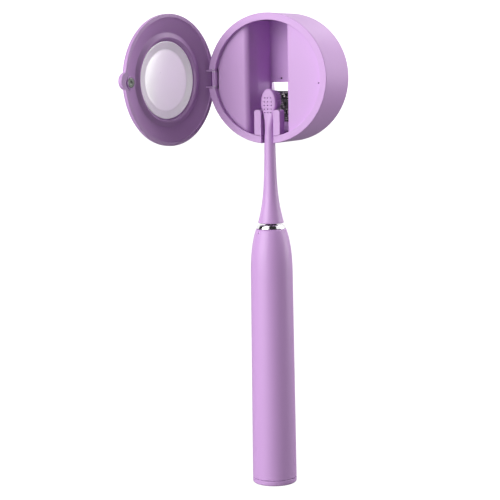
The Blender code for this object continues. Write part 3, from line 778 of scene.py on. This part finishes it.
def head_ring(z, sides):
    """One ring of the head: a flat oval plate above that turns into a round neck below."""
    if z > -34.0:
        width = head_width(z)
        smooth = smooth_step((-20.5 - z) / 13.5)
        nose = math.sqrt(max(1 - (1 - min((HEAD_TOP + 0.35 - z) / 2.2, 1.0)) ** 2, 0.06))
        flat = 2.0 * nose
        depth = flat + (neck_radius(-34.0) - flat) * smooth
        power = 0.38 + 0.62 * smooth
    else:
        width = depth = neck_radius(z)
        power = 1.0
    points = []
    for i in range(sides):
        a = 2 * math.pi * i / sides
        c, s = math.cos(a), math.sin(a)
        x = width * math.copysign(abs(c) ** power, c)
        y = depth * math.copysign(abs(s) ** power, s)
        points.append((x, BRUSH_DEPTH + y, z))
    return points


def make_head(plastic):
    sides = 144
    fine = list(np.arange(HEAD_TOP, -24.0, -0.35))
    medium = list(np.arange(-24.2, -62.0, -1.2))
    low = list(np.arange(-62.5, -90.9, -0.8))
    rings = []
    for z in fine + medium + low:
        rings.append([place(*p) for p in head_ring(float(z), sides)])
    wide = neck_radius(-91.0)
    for a in (15, 40, 65, 90):
        radius = wide + 0.02 - 0.5 * (1 - math.cos(math.radians(a)))
        z = -90.95 - 0.6 * math.sin(math.radians(a))
        rings.append([place(radius * math.cos(2 * math.pi * i / sides),
                            BRUSH_DEPTH + radius * math.sin(2 * math.pi * i / sides), z)
                      for i in range(sides)])
    head = loft("brush_head_body", rings, sharp=50)
    cut(head, rod("shaft socket", (0, BRUSH_DEPTH, -82), 2.2, 20.4, "z", 48))
    for z, spread in ((-12.2, 2.05), (-14.7, 2.4), (-17.0, 2.5), (-19.3, 2.35), (-21.5, 2.1)):
        for column in (-1, 0, 1):
            cut(head, rod("dimple", (column * spread, 2.0, z), 0.5, 1.6, sides=20))
    shade(head, 50)
    put(head, "brush_head", "toothbrush_head", plastic)


def make_bristles(filament):
    """Tufts in staggered rows, each a bundle of fine filaments that fans out a little."""
    dice = random.Random(23)
    radius = 0.085
    fan = 1.16
    work = bmesh.new()
    tufts = []
    for row in range(9):
        z = -8.3 - 1.45 * row
        half = 4.25 * math.sqrt(max(1 - ((z + 14.1) / 6.9) ** 2, 0.05))
        count = max(2, int(2 * half / 1.3) + 1)
        for k in range(count):
            tufts.append((-half + 2 * half * k / (count - 1), z))
    for tuft_x, tuft_z in tufts:
        edge = math.hypot(tuft_x / 4.2, (tuft_z + 14.1) / 6.3)
        reach = 11.9 - 0.4 * (1 - edge) + dice.uniform(-0.08, 0.04)
        for _ in range(30):
            turn = dice.uniform(0, 2 * math.pi)
            out = 0.62 * math.sqrt(dice.random())
            x0, z0 = tuft_x + out * math.cos(turn), tuft_z + out * math.sin(turn)
            x1 = tuft_x + fan * out * math.cos(turn) + dice.uniform(-0.06, 0.06)
            z1 = tuft_z + fan * out * math.sin(turn) + dice.uniform(-0.06, 0.06)
            end = reach + dice.uniform(-0.12, 0.0)
            low, high = [], []
            for i in range(6):
                a = 2 * math.pi * i / 6
                low.append(work.verts.new(place(x0 + radius * math.cos(a), 5.0,
                                                z0 + radius * math.sin(a))))
                high.append(work.verts.new(place(x1 + radius * math.cos(a), end,
                                                 z1 + radius * math.sin(a))))
            for i in range(6):
                j = (i + 1) % 6
                work.faces.new((low[i], low[j], high[j], high[i]))
            work.faces.new(list(reversed(low)))
            work.faces.new(high)
    bristles = add_piece("bristle_tufts", work, 60)
    put(bristles, "brush_head", "toothbrush_bristles", filament)


def handle_radius(z):
    part = min((HANDLE_TOP - z) / 34.0, 1.0)
    swell = 9.65 + 3.75 * (1 - (1 - part) ** 3)
    return swell + 0.75 * max(HANDLE_TOP - 34.0 - z, 0) / 126.0


def indicator_tools():
    """The small window on the handle: a cutter for its well, and its lens."""
    turn = math.radians(INDICATOR_TURN)
    ahead = Vector((math.sin(turn), -math.cos(turn), 0.0))
    spot = place(0, BRUSH_DEPTH, INDICATOR_Z) + ahead * handle_radius(INDICATOR_Z) * MM
    facing = ahead.to_track_quat("Z", "Y").to_matrix().to_4x4()
    upright = Matrix.Rotation(math.radians(90), 4, "X")
    profiles = {"indicator well": [(0, -0.35, 0), (0.8, -0.35, 0.1), (0.8, 0.6, 0), (0, 0.6, 0)],
                "indicator": [(0, -0.5, 0), (0.5, -0.5, 0.1), (0.5, -0.08, 0.15), (0, -0.05, 0)]}
    made = [lathe(name, fillet(corners, closed=False), sides=40) for name, corners in profiles.items()]
    for piece in made:
        piece.data.transform(Matrix.Translation(spot) @ facing @ upright
                             @ Matrix.Translation(-place(0, 0, 0)))
    return made


def make_handle(plastic, mark):
    heights = list(np.arange(HANDLE_TOP - 0.35, -132.0, -0.9)) + list(np.arange(-136.0, -256.0, -6.0))
    outer = [(handle_radius(z), float(z)) for z in heights]
    profile = [(4.0, HANDLE_TOP), (handle_radius(HANDLE_TOP) - 0.35, HANDLE_TOP),
               (handle_radius(HANDLE_TOP) - 0.1, HANDLE_TOP - 0.1)]
    profile += outer + [(14.15, HANDLE_BOTTOM + 0.12), (14.03, HANDLE_BOTTOM), (12.5, HANDLE_BOTTOM)]
    profile += [(handle_radius(z) - 1.6, z) for z in (-130, -112, -104)]
    inner_top = HANDLE_TOP - 2.4
    profile += [(handle_radius(inner_top) - 1.9, inner_top), (4.0, inner_top)]
    handle = lathe("handle_body", profile, (0, BRUSH_DEPTH), True, 192, 45)
    cut(handle, rod("button hole", (0, BRUSH_DEPTH + 13, BUTTON_Z), 4.8, 8, sides=96))
    well, lens = indicator_tools()
    cut(handle, well)
    shade(handle, 45)
    put(handle, "toothbrush", "toothbrush_handle", plastic)
    put(lens, "toothbrush", "toothbrush_handle", mark)


def make_foot(plastic):
    profile = fillet([(0, -251.5, 0), (12.1, -251.5, 0.3), (12.1, HANDLE_BOTTOM - GAP, 0.1),
                      (14.15, HANDLE_BOTTOM - GAP, 0.15), (14.15, -260.0, 1.5), (0, -260.0, 0)],
                     closed=False, step=8)
    cap = lathe("handle_foot", profile, (0, BRUSH_DEPTH), True, 192, 45)
    put(cap, "toothbrush", "toothbrush_end_cap", plastic)


def make_button(soft):
    button = rod("press_button", (0, BRUSH_DEPTH + 11.7, BUTTON_Z), 4.5, 4.6, sides=96, bevel=0.5)
    cut(button, rod("thumb dish", (0, BRUSH_DEPTH + 14.3, BUTTON_Z), 3.2, 1.0, sides=96, bevel=0.3))
    shade(button, 45)
    put(button, "power_button", "toothbrush_button", soft)


def make_collar(chrome):
    profile = [(4.0, -92.6), (8.2, -92.6), (8.42, -92.64), (8.6, -92.82), (8.72, -93.1), (8.98, -93.7),
               (9.2, -94.25), (9.36, -94.6), (9.4, -94.78), (9.3, -94.9), (4.0, -94.9)]
    ring = lathe("chrome_ring", profile, (0, BRUSH_DEPTH), True, 256, 45)
    put(ring, "toothbrush", "toothbrush_collar", chrome)


def make_seal(rubber):
    profile = fillet([(2.2, -92.2, 0.1), (3.2, -92.2, 0.2), (3.7, -92.7, 0.2), (3.7, -97.4, 0.1),
                      (2.2, -97.4, 0.1)])
    seal = lathe("shaft_seal", profile, (0, BRUSH_DEPTH), True, 96, 45)
    put(seal, "toothbrush", "toothbrush_shaft_seal", rubber)


# ---------------------------------------------------------------- everything in place

lilac = moulded("lilac_case", LILAC)
lilac_liner = moulded("lilac_chamber", LILAC)
lilac_brush = moulded("lilac_brush", LILAC, 0.38)
# The lid's inside takes the case lilac darkened, as painted shade.
lilac_lid_painted_shade = moulded("lilac_lid_painted_shade", tint(LILAC, 0.86), 0.40)
soft_lilac = moulded("lilac_soft", tint(LILAC, 0.8), 0.62, 3000.0)
steel = metal("drawn_steel", STEEL, 0.28, (1.0, 1.0, 0.06))
chrome = metal("chrome_trim", (0.93, 0.93, 0.94), 0.045, scale=300.0, strength=0.01)
magnet_metal = metal("nickel_magnet", (0.150, 0.168, 0.145), 0.5, scale=1800.0, strength=0.2)
rubber = moulded("black_silicone", BLACK, 0.7, 3000.0, specular=0.3)
white = moulded("white_foam", (0.82, 0.82, 0.80), 0.9, 2200.0, 0.0002, 0.2)
# Reflector whites: the faint glow on both is painted light, and the rim's greyer tone and weaker glow are
# painted shade.
satin_white_painted_glow = moulded("satin_reflector_painted_glow", (0.96, 0.96, 0.96), 0.3, 900.0, 0.000004)
satin_rim_painted_shade_glow = moulded("satin_reflector_rim_painted_shade_glow", (0.90, 0.90, 0.90), 0.4, 900.0, 0.000004)
paint_glow(satin_white_painted_glow, 0.28).inputs["Metallic"].default_value = 0.5
paint_glow(satin_rim_painted_shade_glow, 0.15).inputs["Metallic"].default_value = 0.3
# The lamp frame's white: its glow is painted light, as the frame is no lamp.
glow = moulded("frame_painted_glow", (0.95, 0.95, 0.96), 0.3)
paint_glow(glow, 0.85)
mask = circuit("black_solder_mask", (0.035, 0.032, 0.036), (0.085, 0.075, 0.085))
green_mask = circuit("green_solder_mask", GREEN, (0.05, 0.22, 0.11))
chip_black = moulded("chip_epoxy", (0.010, 0.010, 0.011), 0.7, 2500.0, specular=0.2)
chip_grey = moulded("chip_grey", (0.10, 0.09, 0.10), 0.6, 2500.0, specular=0.3)
ceramic = moulded("chip_ceramic", (0.38, 0.35, 0.36), 0.5, 2500.0)
# Bright white for the lamps' dies and contact strips: a painted glint.
die_white_painted_glint = moulded("lamp_die_painted_glint", (0.86, 0.84, 0.76), 0.4)
# Lighter lilac for the handle's indicator lens, and for the lamp frame's side jambs and back as painted
# light.
pale_lilac = moulded("pale_lilac", (0.78, 0.66, 0.82), 0.5)
solder = metal("bright_solder", (0.80, 0.80, 0.78), 0.22, scale=2500.0)
filament = moulded("bristle_nylon", BRISTLE, 0.45, 3000.0)

make_case(lilac)
make_liner(lilac_liner)
make_fork(lilac_liner)
make_rear(soft_lilac, steel)
make_bracket(lilac, white)
make_tray(chip_black, pale_lilac, glow)
make_board(mask, chip_black, chip_grey, solder, ceramic)
make_lamps(chip_black, die_white_painted_glint)
make_sensor(chip_black)
make_socket(steel)
make_lid_liner(lilac_lid_painted_shade)
make_lid_shell(lilac)
make_reflector(satin_white_painted_glow, satin_rim_painted_shade_glow)
make_magnet(magnet_metal)
make_head(lilac_brush)
make_bristles(filament)
make_handle(lilac_brush, pale_lilac)
make_foot(lilac_brush)
make_button(soft_lilac)
make_collar(chrome)
make_seal(rubber)

copper = metal("copper_winding", (0.75, 0.36, 0.16), 0.3, (1.0, 1.0, 14.0), 400.0, 0.4)
foil = metal("pouch_foil", (0.40, 0.42, 0.47), 0.4, scale=500.0, strength=0.3)
KEPT = {"hinge_pin": steel, "catch_plate": steel, "lid_sensor": chip_black, "main_board": green_mask,
        "battery_cell": foil, "toothbrush_motor": steel, "toothbrush_charging_coil": copper,
        "toothbrush_battery": foil, "toothbrush_board": green_mask, "toothbrush_chassis": white,
        "toothbrush_drive_shaft": steel}
for node, made in KEPT.items():
    paint(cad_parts[node], made)


# ---------------------------------------------------------------- stage, light and camera

FLOOR_BOUNCE = 0.25
DIM_LIGHT = 0.06
BACKDROP = 1.3
DARK_FLAGS = ((-70.0, 22.0), (40.0, 33.0))     # azimuth and half-width of the black flags, in degrees
LIGHT_TARGET = (0.0, 0.0, -0.08)
LENS = 115.2
YAW, PITCH, ROLL = 26.0, 6.7, -0.96            # how the camera is turned, in degrees
SHIFT, LIFT, DISTANCE = 0.248, 2.628, 24.5     # from the camera to the case, in case radii


def make_stage():
    """White floor: pure white to the camera, and a dim bounce to everything else."""
    work = bmesh.new()
    bmesh.ops.create_grid(work, x_segments=1, y_segments=1, size=6.0)
    mesh = bpy.data.meshes.new("floor")
    work.to_mesh(mesh)
    work.free()
    floor = bpy.data.objects.new("floor", mesh)
    floor.location.z = -0.32
    bpy.context.scene.collection.objects.link(floor)
    made = bpy.data.materials.new("white_floor")
    made.use_nodes = True
    tree = made.node_tree
    tree.nodes.clear()
    seen = tree.nodes.new("ShaderNodeEmission")
    seen.inputs["Strength"].default_value = 1.1
    bounce = tree.nodes.new("ShaderNodeEmission")
    bounce.inputs["Strength"].default_value = FLOOR_BOUNCE
    path = tree.nodes.new("ShaderNodeLightPath")
    mix = tree.nodes.new("ShaderNodeMixShader")
    output = tree.nodes.new("ShaderNodeOutputMaterial")
    tree.links.new(path.outputs["Is Camera Ray"], mix.inputs["Fac"])
    tree.links.new(bounce.outputs["Emission"], mix.inputs[1])
    tree.links.new(seen.outputs["Emission"], mix.inputs[2])
    tree.links.new(mix.outputs["Shader"], output.inputs["Surface"])
    floor.data.materials.append(made)


def area_light(name, location, width, height, power):
    """Soft light that faces the middle of the object."""
    data = bpy.data.lights.new(name, "AREA")
    data.shape = "RECTANGLE"
    data.size = width
    data.size_y = height
    data.energy = power
    made = bpy.data.objects.new(name, data)
    made.location = location
    made.rotation_euler = (Vector(LIGHT_TARGET) - Vector(location)).to_track_quat("-Z", "Y").to_euler()
    bpy.context.scene.collection.objects.link(made)


def make_world():
    """White to the camera and to reflections, but for two black flags. It adds hardly any light."""
    world = bpy.data.worlds.new("studio")
    bpy.context.scene.world = world
    world.use_nodes = True
    tree = world.node_tree
    white = (1.0, 1.0, 1.0, 1.0)
    dim = tree.nodes["Background"]
    dim.inputs["Color"].default_value = white
    dim.inputs["Strength"].default_value = DIM_LIGHT
    backdrop = tree.nodes.new("ShaderNodeBackground")
    backdrop.inputs["Color"].default_value = white
    backdrop.inputs["Strength"].default_value = BACKDROP
    mirrored = tree.nodes.new("ShaderNodeBackground")
    mirrored.inputs["Color"].default_value = white
    coordinates = tree.nodes.new("ShaderNodeTexCoord")
    parts = tree.nodes.new("ShaderNodeSeparateXYZ")
    tree.links.new(coordinates.outputs["Generated"], parts.inputs["Vector"])

    def math_node(operation, *values):
        made = tree.nodes.new("ShaderNodeMath")
        made.operation = operation
        for socket, value in zip(made.inputs, values):
            if isinstance(value, (int, float)):
                socket.default_value = value
            else:
                tree.links.new(value, socket)
        return made.outputs[0]

    azimuth = math_node("ARCTAN2", parts.outputs["X"], math_node("MULTIPLY", parts.outputs["Y"], -1.0))
    flags = [math_node("COMPARE", azimuth, math.radians(a), math.radians(half)) for a, half in DARK_FLAGS]
    shaded = math_node("ADD", *flags)
    tree.links.new(math_node("SUBTRACT", 1.0, math_node("MULTIPLY", shaded, 0.97)),
                   mirrored.inputs["Strength"])
    path = tree.nodes.new("ShaderNodeLightPath")
    inner = tree.nodes.new("ShaderNodeMixShader")
    tree.links.new(path.outputs["Is Glossy Ray"], inner.inputs["Fac"])
    tree.links.new(dim.outputs["Background"], inner.inputs[1])
    tree.links.new(mirrored.outputs["Background"], inner.inputs[2])
    mix = tree.nodes.new("ShaderNodeMixShader")
    tree.links.new(path.outputs["Is Camera Ray"], mix.inputs["Fac"])
    tree.links.new(inner.outputs["Shader"], mix.inputs[1])
    tree.links.new(backdrop.outputs["Background"], mix.inputs[2])
    tree.links.new(mix.outputs["Shader"], tree.nodes["World Output"].inputs["Surface"])


def make_camera():
    """Long lens, from the front and a little above, turned towards the case's open side."""
    yaw, pitch, roll = math.radians(YAW), math.radians(PITCH), math.radians(ROLL)
    ahead = Vector((-math.sin(yaw), math.cos(yaw), 0))
    right = Vector((math.cos(yaw), math.sin(yaw), 0))
    up = Vector((0, 0, 1))
    look = ahead * math.cos(pitch) - up * math.sin(pitch)
    above = up * math.cos(pitch) + ahead * math.sin(pitch)
    side = right * math.cos(roll) + above * math.sin(roll)
    top = above * math.cos(roll) - right * math.sin(roll)
    unit = CASE_RADIUS * MM
    position = place(0, 0, 0) - (side * SHIFT + top * LIFT + look * DISTANCE) * unit
    data = bpy.data.cameras.new("camera")
    data.lens = LENS
    data.sensor_width = 36.0
    data.clip_start = 0.01
    data.clip_end = 50.0
    camera = bpy.data.objects.new("camera", data)
    basis = Matrix((side, top, -look)).transposed().to_4x4()
    camera.matrix_world = Matrix.Translation(position) @ basis
    bpy.context.scene.collection.objects.link(camera)
    bpy.context.scene.camera = camera


make_stage()
make_world()
area_light("key", (-0.744, -1.399, 0.143), 1.5, 1.4, 33.0)
area_light("side", (1.298, 0.909, 0.143), 0.7, 1.4, 15.0)
area_light("high_front", (-0.514, -0.891, 1.146), 0.8, 0.8, 4.6)
area_light("high_back", (0.514, 0.891, 1.146), 0.8, 0.8, 14.3)
make_camera()
bpy.context.scene.view_settings.view_transform = "Standard"
